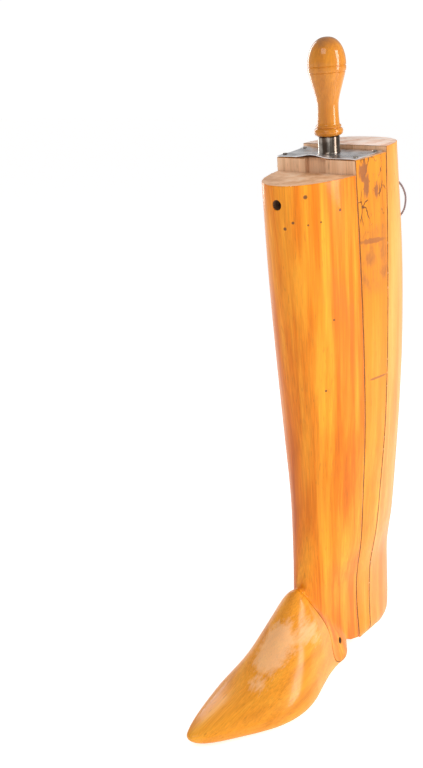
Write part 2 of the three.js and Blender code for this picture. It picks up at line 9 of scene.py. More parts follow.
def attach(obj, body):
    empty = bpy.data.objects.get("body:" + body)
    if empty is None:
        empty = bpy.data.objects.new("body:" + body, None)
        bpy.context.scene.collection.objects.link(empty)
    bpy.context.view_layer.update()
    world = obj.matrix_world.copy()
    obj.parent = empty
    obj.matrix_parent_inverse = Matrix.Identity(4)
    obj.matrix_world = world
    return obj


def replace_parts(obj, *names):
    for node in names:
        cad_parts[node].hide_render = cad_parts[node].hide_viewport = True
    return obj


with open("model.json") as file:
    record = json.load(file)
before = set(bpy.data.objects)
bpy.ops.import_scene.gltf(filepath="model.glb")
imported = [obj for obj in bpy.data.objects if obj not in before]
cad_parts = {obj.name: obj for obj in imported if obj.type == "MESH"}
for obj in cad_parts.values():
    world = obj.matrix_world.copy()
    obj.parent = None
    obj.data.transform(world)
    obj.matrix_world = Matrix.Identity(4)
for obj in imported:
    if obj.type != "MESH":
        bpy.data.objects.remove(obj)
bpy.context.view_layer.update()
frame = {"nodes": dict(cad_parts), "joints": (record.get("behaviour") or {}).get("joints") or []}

mm = 0.001

# the leg's own frame: origin on the ankle pin, y behind it, z up along the leg, in millimetres
legLean = math.radians(7.1)
pin = Vector(next(j["pos_m"] for j in frame["joints"] if j["name"] == "foot_hinge"))
legFrame = Matrix.Translation(pin) @ Matrix.Rotation(legLean, 4, "X") @ Matrix.Scale(mm, 4)
floorFrame = Matrix.Translation((0, pin.y, 0)) @ Matrix.Scale(mm, 4)
legUp = (legFrame.to_3x3() @ Vector((0, 0, 1))).normalized()


def legPoint(side, behind, up):
    return legFrame @ Vector((side, behind, up))


# the camera
view = {
    "place": (0.4230, -0.7436, 0.5490),
    "towards": (-0.6187, 0.7218, -0.3107),
    "lens": 40.12,
    "shift": -0.0091,
}


def makeCamera():
    data = bpy.data.cameras.new("camera")
    data.lens = view["lens"]
    data.sensor_width = 36
    data.shift_x = view["shift"]
    data.clip_start = 0.01
    camera = bpy.data.objects.new("camera", data)
    camera.location = view["place"]
    camera.rotation_mode = "QUATERNION"
    camera.rotation_quaternion = Vector(view["towards"]).to_track_quat("-Z", "Y")
    bpy.context.scene.collection.objects.link(camera)
    bpy.context.scene.camera = camera


# small modelling helpers
def deselectAll():
    for thing in bpy.context.selected_objects:
        thing.select_set(False)


def makeActive(piece):
    deselectAll()
    piece.select_set(True)
    bpy.context.view_layer.objects.active = piece


def named(name):
    piece = bpy.context.object
    piece.name = name
    piece.data.name = name
    return piece


def editAll(piece):                     # into edit mode with everything selected
    makeActive(piece)
    bpy.ops.object.mode_set(mode="EDIT")
    bpy.ops.mesh.select_all(action="SELECT")


def leaveEdit():
    bpy.ops.object.mode_set(mode="OBJECT")


def selectFaces(piece, test):               # in edit mode, by place
    bm = bmesh.from_edit_mesh(piece.data)
    bpy.ops.mesh.select_mode(type="FACE")
    bpy.ops.mesh.select_all(action="DESELECT")
    for face in bm.faces:
        if test(face):
            face.select_set(True)
    bm.select_flush_mode()
    bmesh.update_edit_mesh(piece.data)


def applyModifier(piece, kind, **values):
    makeActive(piece)
    modifier = piece.modifiers.new(kind.lower(), kind)
    for key, value in values.items():
        setattr(modifier, key, value)
    bpy.ops.object.modifier_apply(modifier=modifier.name)


def copyOf(piece, name):
    twin = piece.copy()
    twin.data = piece.data.copy()
    twin.name = name
    twin.data.name = name
    bpy.context.scene.collection.objects.link(twin)
    return twin


def tidyNormals(piece):
    editAll(piece)
    bpy.ops.mesh.normals_make_consistent(inside=False)
    leaveEdit()


def blankTube(name, around, levels):        # a plain tube of unit rings, one per level
    deselectAll()
    bpy.ops.mesh.primitive_circle_add(vertices=around, radius=1, fill_type="NGON")
    tube = named(name)
    editAll(tube)
    for _ in range(levels - 1):
        bpy.ops.mesh.extrude_region_move(TRANSFORM_OT_translate={"value": (0, 0, 1)})
    leaveEdit()
    return tube


def shapeTube(tube, place):                 # moves each vertex to place(turn, level)
    for vertex in tube.data.vertices:
        turn = math.atan2(vertex.co.y, vertex.co.x)
        vertex.co = place(turn, round(vertex.co.z))
    tidyNormals(tube)


def prism(name, outline, across):           # an outline of points, carried along a vector
    deselectAll()
    bpy.ops.mesh.primitive_circle_add(vertices=len(outline), radius=1, fill_type="NGON")
    bar = named(name)
    for vertex, point in zip(bar.data.vertices, outline):
        vertex.co = point
    editAll(bar)
    bpy.ops.mesh.extrude_region_move(TRANSFORM_OT_translate={"value": across})
    leaveEdit()
    tidyNormals(bar)
    return bar


def sidePrism(name, outline, halfWidth=120):        # outline in the leg's frame, seen from the side
    points = [legPoint(-halfWidth, behind, up) for behind, up in outline]
    return prism(name, points, (2 * halfWidth * mm, 0, 0))


def rod(name, start, end, radius):
    deselectAll()
    axis = end - start
    bpy.ops.mesh.primitive_cylinder_add(vertices=48, radius=radius, depth=axis.length)
    bar = named(name)
    turn = axis.to_track_quat("Z", "Y").to_matrix().to_4x4()
    bar.data.transform(Matrix.Translation((start + end) / 2) @ turn)
    return bar


def carve(piece, tool, operation="DIFFERENCE"):
    applyModifier(piece, "BOOLEAN", object=tool, operation=operation, solver="MANIFOLD")
    bpy.data.objects.remove(tool)


def saw(piece, point, normal):              # one flat cut: what the normal points at goes
    deselectAll()
    size = 1.5
    bpy.ops.mesh.primitive_cube_add(size=size)
    block = named("sawn_off")
    turn = normal.to_track_quat("Z", "Y").to_matrix().to_4x4()
    block.data.transform(Matrix.Translation(point + normal * size / 2) @ turn)
    carve(piece, block)


edges = {"width": 0.45, "sharp": 38, "segments": 2, "shaded": 40}      # angles in degrees


def easeEdges(piece):
    editAll(piece)
    bpy.ops.mesh.remove_doubles(threshold=0.2 * mm)
    bpy.ops.mesh.dissolve_degenerate(threshold=0.05 * mm)
    leaveEdit()
    applyModifier(piece, "BEVEL", width=edges["width"] * mm, segments=edges["segments"],
                  limit_method="ANGLE", angle_limit=math.radians(edges["sharp"]), use_clamp_overlap=False)


def smoothShade(piece):
    makeActive(piece)
    bpy.ops.object.shade_smooth_by_angle(angle=math.radians(edges["shaded"]))


def between(rows, at):                      # smooth values between the rows of a table
    last = len(rows) - 1
    i = max([k for k in range(last) if rows[k][0] <= at] or [0])
    lower, upper = rows[i], rows[i + 1]
    before, after = rows[max(i - 1, 0)], rows[min(i + 2, last)]
    span = upper[0] - lower[0]
    t = min(max((at - lower[0]) / span, 0), 1)
    values = []
    for column in range(1, len(lower)):
        slopeIn = (upper[column] - before[column]) / (upper[0] - before[0]) * span
        slopeOut = (after[column] - lower[column]) / (after[0] - lower[0]) * span
        rise = upper[column] - lower[column]
        bend = (slopeIn + slopeOut - 2 * rise) * t + 3 * rise - 2 * slopeIn - slopeOut
        values.append(lower[column] + t * (slopeIn + t * bend))
    return values


def squircle(value, exponent):
    return math.copysign(abs(value) ** (2 / exponent), value)


# the leg and foot before they are sawn apart
legShape = {
    "wedgeTop": 480.5, "shinTop": 468.7, "calfTop": 485.3,
    "wedgeFrontTop": 24, "wedgeDepthTop": 44.1, "frontTaper": 0.0307, "rearTaper": 0.0141,
    "play": 0.3,
    "frontRoundness": 2.2, "rearRoundness": 2.5,
    # height, half width, front, rear
    "stations": [(-60, 24.8, -32, 118), (-25, 26, -32, 122.5), (19, 24.6, -31.5, 124),
                 (57, 25.8, -30.2, 122.3), (104, 33.2, -22.4, 123), (160, 38.2, -17.6, 124),
                 (227, 43.2, -18.8, 124.5), (302, 45.2, -23.6, 127.5), (387, 45, -29, 125.4),
                 (485, 42.9, -33.5, 114.5), (520, 42, -34.5, 111)],
    "around": 96, "step": 6, "low": -54, "high": 510,
    "heelHeight": 12, "heelInset": 8,
}


def legAt(up):                              # half width, front and rear at a height
    return between(legShape["stations"], up)


def wedgeFront(up):
    return legShape["wedgeFrontTop"] + (legShape["wedgeTop"] - up) * legShape["frontTaper"]


def wedgeRear(up):
    top = legShape["wedgeFrontTop"] + legShape["wedgeDepthTop"]
    return top - (legShape["wedgeTop"] - up) * legShape["rearTaper"]


def makeLegBlank():
    shape = legShape
    count = round((shape["high"] - shape["low"]) / shape["step"]) + 1

    def place(turn, level):
        up = shape["low"] + level * shape["step"]
        halfWidth, front, rear = legAt(up)
        widest = wedgeRear(up) - 2
        forward = math.sin(turn) < 0
        exponent = shape["frontRoundness"] if forward else shape["rearRoundness"]
        reach = widest - front if forward else rear - widest
        side = halfWidth * squircle(math.cos(turn), exponent)
        behind = reach * squircle(math.sin(turn), exponent)
        floorHeight = legPoint(side, widest + behind, up).z / mm
        if floorHeight < shape["heelHeight"]:           # the heel's bottom edge is taken round
            share = min(1 - max(floorHeight, 0) / shape["heelHeight"], 1)
            inset = shape["heelInset"] * (1 - math.sqrt(1 - share * share))
            shrink = 1 - inset / max(math.hypot(side, behind), 1)
            side, behind = side * shrink, behind * shrink
        return legPoint(side, widest + behind, up)

    blank = blankTube("leg_blank", shape["around"], count)
    shapeTube(blank, place)
    return blank


footShape = {
    # along, inner, outer, sole, wide, ridge, crest, fullness
    "stations": [(-195.5, -6.6, -2.2, 10.3, 12.5, 14.2, -4.4, 2),
                 (-193.5, -9.4, 1, 8, 12.5, 15.6, -4.2, 2),
                 (-187, -12.8, 7.8, 5.4, 12.5, 17.6, -2.5, 2.1),
                 (-175, -17.2, 16.6, 3.6, 12.5, 20.4, -0.3, 2.2),
                 (-160, -21.6, 25.2, 2.2, 12, 23.2, 1.8, 2.2),
                 (-143, -26, 34.8, 1, 11.5, 27, 4.4, 2.1),
                 (-125, -29.4, 43.8, 0.3, 11.5, 33.5, 7, 2),
                 (-108, -30.6, 49, 0, 11.5, 43.5, 9, 1.85),
                 (-90, -29.6, 50.9, 0, 12, 57, 8.5, 1.75),
                 (-72, -28.2, 48.8, 0.5, 12, 74.5, 5.5, 1.7),
                 (-54, -27.8, 43.8, 1, 12, 89.5, 2.5, 1.65),
                 (-43, -28, 40.8, 1.2, 12, 95.5, 1, 1.62),
                 (-32, -28, 37.8, 1.1, 11.5, 86, 0.5, 1.62),
                 (-12, -29, 33.4, 0.9, 7, 73, 0, 1.52),
                 (9, -29.6, 30.9, 1, 4.8, 58, 0, 1.42),
                 (30, -17, 17, 4, 10, 40, 0, 1.6)],
    "soleRoundness": 3.2,
    "around": 96, "levels": 80, "crowding": 1.5,
}


def makeFootBlank():
    shape = footShape
    heelEnd, toeEnd = shape["stations"][-1][0], shape["stations"][0][0]

    def place(turn, level):
        share = 1 - (1 - level / (shape["levels"] - 1)) ** shape["crowding"]
        along = heelEnd + (toeEnd - heelEnd) * share
        inner, outer, sole, wide, ridge, crest, fullness = between(shape["stations"], along)
        over = math.sin(turn) > 0
        exponent = fullness if over else shape["soleRoundness"]
        rise = squircle(math.sin(turn), exponent)
        middle = (inner + outer) / 2 + (crest - (inner + outer) / 2) * max(rise, 0)
        side = middle + (outer - inner) / 2 * squircle(math.cos(turn), exponent)
        return floorFrame @ Vector((side, along, wide + (ridge - wide if over else wide - sole) * rise))

    blank = blankTube("foot_blank", shape["around"], shape["levels"])
    shapeTube(blank, place)
    return blank


carving = {
    "voxel": 1.5, "voxelQuick": 2.4, "strokes": 9, "ankleStrokes": 40,
    "ankleAt": (8, 42), "ankleReach": (42, 40), "ankleFade": 1.6,       # behind and up
}


def makeWhole():                            # leg and foot as one carved piece
    leg, foot = makeLegBlank(), makeFootBlank()
    makeActive(leg)
    foot.select_set(True)
    bpy.ops.object.join()
    whole = named("whole")
    voxel = carving["voxel"] * mm
    applyModifier(whole, "REMESH", mode="VOXEL", voxel_size=voxel, adaptivity=0)
    group = whole.vertex_groups.new(name="ankle")
    (ankleBehind, ankleUp), (reachBehind, reachUp) = carving["ankleAt"], carving["ankleReach"]
    fade = carving["ankleFade"]
    for vertex in whole.data.vertices:      # the flare from the leg into the ears is blended
        side, behind, up = legFrame.inverted() @ vertex.co
        away = math.hypot((behind - ankleBehind) / reachBehind, (up - ankleUp) / reachUp)
        group.add([vertex.index], max(0, min(1, fade - fade * away)), "REPLACE")
    applyModifier(whole, "SMOOTH", factor=0.5, iterations=carving["ankleStrokes"], vertex_group="ankle")
    applyModifier(whole, "SMOOTH", factor=0.5, iterations=carving["strokes"])
    whole.vertex_groups.clear()
    saw(whole, Vector((0, 0, 0)), Vector((0, 0, -1)))
    return whole


# the ankle joint
joint = {
    "ears": 20, "earHalfWidth": 25, "tongue": 18, "tongueHalf": 11.5, "play": 0.4,
    "lip": 12, "start": math.radians(148), "notch": math.radians(-34.5),
    "line": [(-34, 77), (-29.8, 64), (-24, 49.5), (-18, 34.5), (-15.4, 21)],
    "heelUnder": [(24, -17), (47, -27), (60, -700)],
    "above": (-60, 107), "far": 700,        # beyond the wood, for the cuts' outer corners
    "pinHole": 2.85, "plugSeat": 5.55, "plugDepth": 5,
}


def onCircle(radius, angle):
    return (radius * math.cos(angle), radius * math.sin(angle))


def ankleCurve(play, endAngle):             # from the instep down and round under the ears
    radius = joint["ears"] + play
    knots = [(v - play, u - play * 0.4) for v, u in joint["line"]] + [onCircle(radius, joint["start"])]
    table = [(i, *knot) for i, knot in enumerate(knots)]
    steps = 8 * (len(knots) - 1)
    line = [tuple(between(table, (len(knots) - 1) * i / steps)) for i in range(steps + 1)]
    turns = 40
    sweep = endAngle + 2 * math.pi - joint["start"]
    return line + [onCircle(radius, joint["start"] + sweep * (i + 1) / turns) for i in range(turns)]


def legSide():
    far = joint["far"]
    return sidePrism("leg_side", [(joint["above"][0], far), joint["above"], *ankleCurve(0, joint["notch"]),
                                  *joint["heelUnder"], (far, -far), (far, far)])


def lipAngle():                             # where the sole's lip ends under the ears
    return -math.acos(joint["lip"] / (joint["ears"] + joint["play"]))


def footSide():
    far = joint["far"]
    return sidePrism("foot_side", [(-far, joint["above"][1]), joint["above"],
                                   *ankleCurve(joint["play"], lipAngle()),
                                   (joint["lip"], -far), (-far, -far)])


def arcFromTop(radius, endAngle):           # round the pin
    return [onCircle(radius, math.pi / 2 + (endAngle - math.pi / 2) * i / 30) for i in range(31)]


def tongue():
    deep = joint["ears"] + 6
    arc = arcFromTop(joint["tongue"], lipAngle())
    return sidePrism("tongue", [*arc, (joint["lip"], -deep), (-deep, -deep), (-deep, joint["tongue"])],
                     joint["tongueHalf"])


def tongueSlot():
    radius = joint["tongue"] + joint["play"]
    far = joint["far"]
    arc = arcFromTop(radius, joint["notch"])
    return sidePrism("tongue_slot", [*arc, onCircle(joint["ears"] + 4, joint["notch"]),
                                     (joint["lip"], -40), (-far, -40), (-far, radius)],
                     joint["tongueHalf"] + joint["play"])


def pinRod(name, radius, end):              # along the pin, from beyond the inner ear
    start = -joint["earHalfWidth"] - 20
    return rod(name, legPoint(start, 0, 0), legPoint(end, 0, 0), radius * mm)


# the four carved pieces
def wedgeCut(front, towardsRear, gap):      # the plane of one sliding face: a point and its normal
    slope = -legShape["frontTaper"] if front else legShape["rearTaper"]
    at = (wedgeFront(0) if front else wedgeRear(0)) + gap
    along = Vector((0, slope, 1)).normalized()
    across = Vector((0, along.z, -along.y)) * (1 if towardsRear else -1)
    turn = legFrame.to_3x3().normalized()
    return legPoint(0, at, 0), turn @ across


def topCut(up):
    return legPoint(0, 0, up), legUp


grooves = {"mouth": 20.5, "depth": 6, "flare": math.radians(8)}


def dovetailGroove(front):
    top, low = legShape["wedgeTop"] + 10, -60
    inward = 1 if front else -1
    half, depth, flare = grooves["mouth"] / 2, grooves["depth"], math.tan(grooves["flare"])

    def corner(side, into):
        face = wedgeFront(low) if front else wedgeRear(low)
        return legPoint(side, face + inward * into, low)

    outline = [corner(-half + 2 * flare, -2), corner(half - 2 * flare, -2),
               corner(half + depth * flare, depth), corner(-half - depth * flare, depth)]
    slope = -legShape["frontTaper"] if front else legShape["rearTaper"]
    along = legFrame.to_3x3() @ Vector((0, slope, 1))
    return prism("groove", outline, along * (top - low))


pullHole = {"radius": 4.2, "drop": 15.5, "depth": 34, "mouth": -33}


def makeShin(whole):
    shin = copyOf(whole, "shin_wood")
    saw(shin, *wedgeCut(True, True, -legShape["play"]))
    saw(shin, *topCut(legShape["shinTop"]))
    carve(shin, legSide(), "INTERSECT")
    carve(shin, tongueSlot())
    carve(shin, pinRod("bore", joint["pinHole"], joint["earHalfWidth"] + 20))
    carve(shin, pinRod("plug_seat", joint["plugSeat"], joint["plugDepth"] - joint["earHalfWidth"]))
    mouth = legPoint(0, pullHole["mouth"], legShape["shinTop"] - pullHole["drop"])
    level = Vector((0, mm, 0))
    carve(shin, rod("pull_hole", mouth - 20 * level, mouth + pullHole["depth"] * level,
                    pullHole["radius"] * mm))
    return shin


def makeForefoot(whole):
    foot = copyOf(whole, "forefoot_wood")
    inner = copyOf(whole, "tongue_wood")
    carve(inner, tongue(), "INTERSECT")
    carve(foot, footSide(), "INTERSECT")
    carve(foot, inner, "UNION")
    carve(foot, pinRod("bore", joint["pinHole"], joint["earHalfWidth"] + 20))
    return foot


def makeWedge(whole):
    wedge = copyOf(whole, "wedge_wood")
    saw(wedge, *wedgeCut(True, False, legShape["play"]))
    saw(wedge, *wedgeCut(False, True, -legShape["play"]))
    saw(wedge, *topCut(legShape["wedgeTop"]))
    carve(wedge, legSide(), "INTERSECT")
    carve(wedge, dovetailGroove(True))
    carve(wedge, dovetailGroove(False))
    return wedge


def makeCalf(whole):
    calf = copyOf(whole, "calf_wood")
    saw(calf, *wedgeCut(False, False, legShape["play"]))
    saw(calf, *topCut(legShape["calfTop"]))
    up = legShape["calfTop"] - cordLook["down"]
    face = wedgeRear(up)
    for name, depth, radius in (("cord_hole", 80, cordLook["hole"]),
                                ("knot_recess", cordLook["recessDepth"], cordLook["recess"])):
        carve(calf, rod(name, legPoint(0, face - 5, up), legPoint(0, face + depth, up), radius * mm))
    return calf


# the turned pieces
handleAt = {"behind": 46.05, "up": 482.2}
handleShape = {
    "bead": [(0, 14.4), (9.4, 14.4), (10.8, 14.7), (11.8, 15.6), (12.3, 17), (12.3, 18.3), (11.9, 19.6),
             (11, 20.5), (10.3, 20.8), (10.3, 21.1), (10.9, 21.5), (11, 22.1), (10.6, 22.7), (9.9, 23.1)],
    "neck": [(23.8, 9.5), (28, 9.15), (34, 8.9), (40, 9.05), (46, 10.1), (52, 11.75), (58, 13.45),
             (62, 14.6), (64.8, 15.25)],
    "band": [(15, 65.05), (15.05, 65.35), (15.55, 65.6), (15.85, 66.4), (16, 68), (16, 69.5),
             (15.55, 69.9), (15.55, 70.2), (16, 70.6)],
    "dome": 22, "fullness": 0.85, "radius": 16,
    "steps": 96,
}
ferruleShape = {
    "profile": [(4.6, 0), (9.75, 0), (9.8, 0.4), (9.55, 0.9), (9.3, 1.3), (9.3, 12.9), (9.2, 13.5),
                (8.9, 13.9), (8.5, 14), (4.6, 14)],
    "steps": 72,
}


def turned(name, profile, steps):           # spun on the lathe about the handle's axis
    deselectAll()
    bpy.ops.mesh.primitive_plane_add(size=1)
    piece = named(name)
    editAll(piece)
    bpy.ops.mesh.merge(type="CENTER")
    start = Vector((profile[0][0], 0, profile[0][1]))
    bpy.ops.transform.translate(value=start)
    for (radius, up), (nextRadius, nextUp) in zip(profile, profile[1:]):
        move = (nextRadius - radius, 0, nextUp - up)
        bpy.ops.mesh.extrude_region_move(TRANSFORM_OT_translate={"value": move})
    bpy.ops.mesh.select_all(action="SELECT")
    bpy.ops.mesh.spin(steps=steps, angle=2 * math.pi, center=(0, 0, 0), axis=(0, 0, 1))
    bpy.ops.mesh.select_all(action="SELECT")
    bpy.ops.mesh.remove_doubles(threshold=0.001)
    bpy.ops.mesh.normals_make_consistent(inside=False)
    leaveEdit()
    piece.data.transform(legFrame @ Matrix.Translation((0, handleAt["behind"], handleAt["up"])))
    return piece


def makeHandle():
    shape = handleShape
    low, high = shape["neck"][0][0], shape["neck"][-1][0]
    neck = [(between(shape["neck"], low + (high - low) * i / 36)[0], low + (high - low) * i / 36)
            for i in range(37)]
    base = shape["band"][-1][1]
    dome = [(shape["radius"] * math.cos(a) ** shape["fullness"], base + shape["dome"] * math.sin(a))
            for a in (math.pi / 2 * i / 26 for i in range(1, 26))]
    profile = [*shape["bead"], *neck, *shape["band"], *dome, (0, base + shape["dome"])]
    return turned("turned_handle", profile, shape["steps"])


def makeFerrule():
    profile = ferruleShape["profile"]
    return turned("steel_ferrule", [*profile, profile[0]], ferruleShape["steps"])


# the plate on the wedge
plate = {
    "thickness": 0.7, "columns": 90, "rows": 50,
    "buckle": 2.3, "buckleSide": -5, "buckleWidth": 11, "buckleReach": 17,
    "corner": 1.7, "cornerReach": 9, "ripple": 0.16,
    "holeRadius": 5,
}


def makePlate():
    flat = frame["nodes"]["wedge_plate"].data.vertices
    inLeg = [legFrame.inverted() @ vertex.co for vertex in flat]
    half = max(p.x for p in inLeg)
    front, rear = min(p.y for p in inLeg), max(p.y for p in inLeg)
    base = min(p.z for p in inLeg)
    deselectAll()
    bpy.ops.mesh.primitive_grid_add(x_subdivisions=plate["columns"], y_subdivisions=plate["rows"], size=2)
    sheet = named("tin_plate")
    for vertex in sheet.data.vertices:
        side = vertex.co.x * half
        behind = (front + rear) / 2 + vertex.co.y * (rear - front) / 2
        fromFront = behind - front
        lean = (side - plate["buckleSide"]) / plate["buckleWidth"]
        lift = plate["buckle"] * math.exp(-lean * lean) * math.exp(-(fromFront / plate["buckleReach"]) ** 2)
        corner = math.hypot(side + half, behind - rear) / plate["cornerReach"]
        lift += plate["corner"] * math.exp(-corner * corner)
        lift += plate["ripple"] * math.sin(side * 0.21 + 1.3) * math.sin(behind * 0.33) + plate["ripple"]
        vertex.co = legPoint(side, behind, base + lift)
    editAll(sheet)
    middle = legPoint(0, handleAt["behind"], base)
    selectFaces(sheet, lambda face: (face.calc_center_median() - middle).length < plate["holeRadius"] * mm)
    bpy.ops.mesh.delete(type="FACE")
    leaveEdit()
    applyModifier(sheet, "SOLIDIFY", thickness=plate["thickness"] * mm, offset=1)
    return sheet


# the cord
cordLook = {
    "radius": 0.9,
    "down": 31,                             # its hole below the top of the rear leg
    "hole": 2.7, "recess": 6.4,             # radii of its hole and of the knot's recess
    "recessDepth": 10.3, "knotAt": 11,
    # half of the loop: to the side, behind the back of the leg, below the hole
    "half": [(1.65, 4.6, 0), (4.35, 9, -1.6), (8.6, 12.2, -5.2), (17.4, 14, -11.4),
             (24.2, 14.4, -20.6), (25.6, 14.4, -31), (22, 14.4, -41.6), (12.6, 14.2, -49.8)],
    "bottom": (0, 14, -53),
    "strand": 1.35,
    "dark": (0.20, 0.15, 0.165), "light": (0.46, 0.38, 0.42),
}


def makeCord():
    up = legShape["calfTop"] - cordLook["down"]
    back = legAt(up)[2]
    inside = wedgeRear(up) + legShape["play"] + cordLook["knotAt"]
    strand = cordLook["strand"]
    half = [(strand, inside - back, 0), (strand, (inside - back) / 2, 0), (strand, 0, 0), *cordLook["half"]]
    other = [(-side, behind, down) for side, behind, down in reversed(half)]
    points = [legPoint(side, back + behind, up + down)
              for side, behind, down in [*half, cordLook["bottom"], *other]]
    data = bpy.data.curves.new("cord_loop", "CURVE")
    data.dimensions = "3D"
    data.bevel_depth = 1                    # each point's own radius gives the thickness
    data.bevel_resolution = 3
    data.resolution_u = 8
    data.use_fill_caps = True
    spline = data.splines.new("BEZIER")
    spline.bezier_points.add(len(points) - 1)
    for knot, point in zip(spline.bezier_points, points):
        knot.co, knot.radius = point, cordLook["radius"] * mm
        knot.handle_left_type = knot.handle_right_type = "AUTO"
    cord = bpy.data.objects.new("cord_loop", data)
    bpy.context.scene.collection.objects.link(cord)
    bpy.context.view_layer.update()
    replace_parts(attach(cord, "calf"), "pull_cord")
    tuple(points[0])
    return cord


# the materials
def newMaterial(name):
    material = bpy.data.materials.new(name)
    material.use_nodes = True
    return material, material.node_tree, material.node_tree.nodes["Principled BSDF"]


def add(tree, kind, inputs=None, **settings):           # a node with its settings and inputs
    node = tree.nodes.new(kind)
    for key, value in settings.items():
        setattr(node, key, value)
    for key, value in (inputs or {}).items():
        if isinstance(value, bpy.types.NodeSocket):
            tree.links.new(value, node.inputs[key])
        else:
            node.inputs[key].default_value = value
    return node


def mapped(tree, stretch, turn=(0, 0, 0), shift=(0, 0, 0)):
    place = add(tree, "ShaderNodeTexCoord").outputs["Object"]
    aligned = add(tree, "ShaderNodeMapping", {"Vector": place, "Rotation": turn, "Location": shift})
    return add(tree, "ShaderNodeMapping", {"Vector": aligned.outputs[0], "Scale": stretch}).outputs[0]


def noise(tree, vector, detail=2.0, roughness=0.5, distortion=0.0):
    return add(tree, "ShaderNodeTexNoise", {"Vector": vector, "Scale": 1.0, "Detail": detail,
                                            "Roughness": roughness, "Distortion": distortion}).outputs[0]


def ramp(tree, factor, stops):
    node = add(tree, "ShaderNodeValToRGB", {"Fac": factor})
    elements = node.color_ramp.elements
    while len(elements) < len(stops):
        elements.new(0.5)
    for element, (at, colour) in zip(elements, stops):
        element.position = at
        element.color = (*colour, 1) if len(colour) == 3 else colour
    return node.outputs[0]


def grey(tree, factor, low, high, to=(0, 1)):           # a factor between two levels, remapped
    return add(tree, "ShaderNodeMapRange", {"Value": factor, "From Min": low, "From Max": high,
                                            "To Min": to[0], "To Max": to[1]}).outputs[0]


def blend(tree, factor, a, b, kind="MIX"):
    node = add(tree, "ShaderNodeMix", data_type="RGBA", blend_type=kind)
    for key, value in ((0, factor), (6, a), (7, b)):
        if isinstance(value, bpy.types.NodeSocket):
            tree.links.new(value, node.inputs[key])
        else:
            node.inputs[key].default_value = (*value, 1) if isinstance(value, tuple) else value
    return node.outputs[2]


def calc(tree, operation, a, b=0.5):
    return add(tree, "ShaderNodeMath", {0: a, 1: b}, operation=operation).outputs[0]


def zone(tree, spec, frameOf, turn=(0, 0, 0)):          # 1 at a place, 0 outside its half sizes
    side, behind, up, *radii = spec
    centre = tuple(frameOf @ Vector((side, behind, up)))
    place = add(tree, "ShaderNodeTexCoord").outputs["Object"]
    away = add(tree, "ShaderNodeVectorMath", {0: place, 1: centre}, operation="SUBTRACT").outputs[0]
    scaled = add(tree, "ShaderNodeMapping", {"Vector": away, "Rotation": turn,
                                             "Scale": tuple(1 / (r * mm) for r in radii)}).outputs[0]
    length = add(tree, "ShaderNodeVectorMath", {0: scaled}, operation="LENGTH").outputs["Value"]
    return calc(tree, "SUBTRACT", 1.0, length)


legGrain = (-legLean, 0, 0)                 # turns the leg's length to Z
footGrain = (math.radians(80), 0, 0)        # turns the foot's length to Z

honey = {
    "deep": (0.50, 0.095, 0.001), "mid": (0.71, 0.185, 0.002), "light": (0.88, 0.345, 0.02),
    "fleck": (0.40, 0.13, 0.01), "hole": (0.07, 0.025, 0.008),
    "roughness": (0.30, 0.46), "coat": 0.24, "coatRoughness": 0.1, "specular": 0.12,
}


def woodTone(tree, grain, look, contrast=1.0):
    broad = noise(tree, mapped(tree, (14, 14, 3), grain), 3, 0.55)
    streaks = noise(tree, mapped(tree, (75, 75, 2.6), grain, (3, 1, 7)), 5, 0.6, 0.35)
    fibres = noise(tree, mapped(tree, (900, 900, 22), grain, (1, 5, 2)), 2, 0.6)
    tone = calc(tree, "ADD", calc(tree, "MULTIPLY", broad, 0.45), calc(tree, "MULTIPLY", streaks, 0.55))
    colour = ramp(tree, tone, [(0.5 - 0.16 / contrast, look["deep"]), (0.5, look["mid"]),
                               (0.5 + 0.14 / contrast, look["light"])])
    fine = grey(tree, fibres, 0.3, 0.7, (0.84, 1.06))
    shade = add(tree, "ShaderNodeCombineColor", {0: fine, 1: fine, 2: fine}).outputs[0]
    return blend(tree, 1.0, colour, shade, "MULTIPLY"), fibres


def flecks(tree, grain, colour, fleck, amount=0.35):    # short dark rays in the grain
    dashes = noise(tree, mapped(tree, (620, 620, 95), grain, (9, 2, 4)), 1, 0.4)
    mask = grey(tree, dashes, 0.66, 0.74, (0, amount))
    return blend(tree, mask, colour, fleck)


worm = {"spacing": 0.034, "size": 0.022}


def wormHoles(tree, colour, dark):
    place = mapped(tree, (1 / worm["spacing"],) * 3, shift=(0.013, 0.007, 0.021))
    cells = add(tree, "ShaderNodeTexVoronoi", {"Vector": place, "Scale": 1.0, "Randomness": 1.0})
    spot = grey(tree, cells.outputs["Distance"], worm["size"], worm["size"] * 1.7, (1, 0))
    pick = add(tree, "ShaderNodeSeparateColor", {0: cells.outputs["Color"]}).outputs[0]
    mask = calc(tree, "MULTIPLY", spot, grey(tree, pick, 0.55, 0.6))
    return blend(tree, mask, colour, dark), mask


def bumps(tree, shader, layers):            # (height, strength, distance) one over another
    normal = None
    for height, strength, distance in layers:
        inputs = {"Height": height, "Strength": strength, "Distance": distance}
        if normal is not None:
            inputs["Normal"] = normal
        normal = add(tree, "ShaderNodeBump", inputs).outputs[0]
    tree.links.new(normal, shader.inputs["Normal"])


# painted shade in the gaps between the leg's pieces: its dark colour, width in millimetres and strength
gapShade = {"dark": (0.10, 0.032, 0.010), "width": 1.0, "amount": 0.8}


def paintedGapShade(tree, colour, planes):       # painted shade along the line where two pieces meet, standing in for the shade in the gap between them
    place = add(tree, "ShaderNodeTexCoord").outputs["Object"]
    ragged = noise(tree, mapped(tree, (260, 260, 90), legGrain, (4, 9, 2)), 4, 0.7)
    for point, normal in planes:
        along = add(tree, "ShaderNodeVectorMath", {0: place, 1: tuple(normal)}, operation="DOT_PRODUCT")
        away = calc(tree, "ABSOLUTE", calc(tree, "SUBTRACT", along.outputs["Value"], point.dot(normal)))
        reach = calc(tree, "DIVIDE", away, calc(tree, "MULTIPLY", ragged, 2 * gapShade["width"] * mm))
        colour = blend(tree, grey(tree, reach, 0.35, 1.1, (gapShade["amount"], 0)), colour, gapShade["dark"])
    return colour


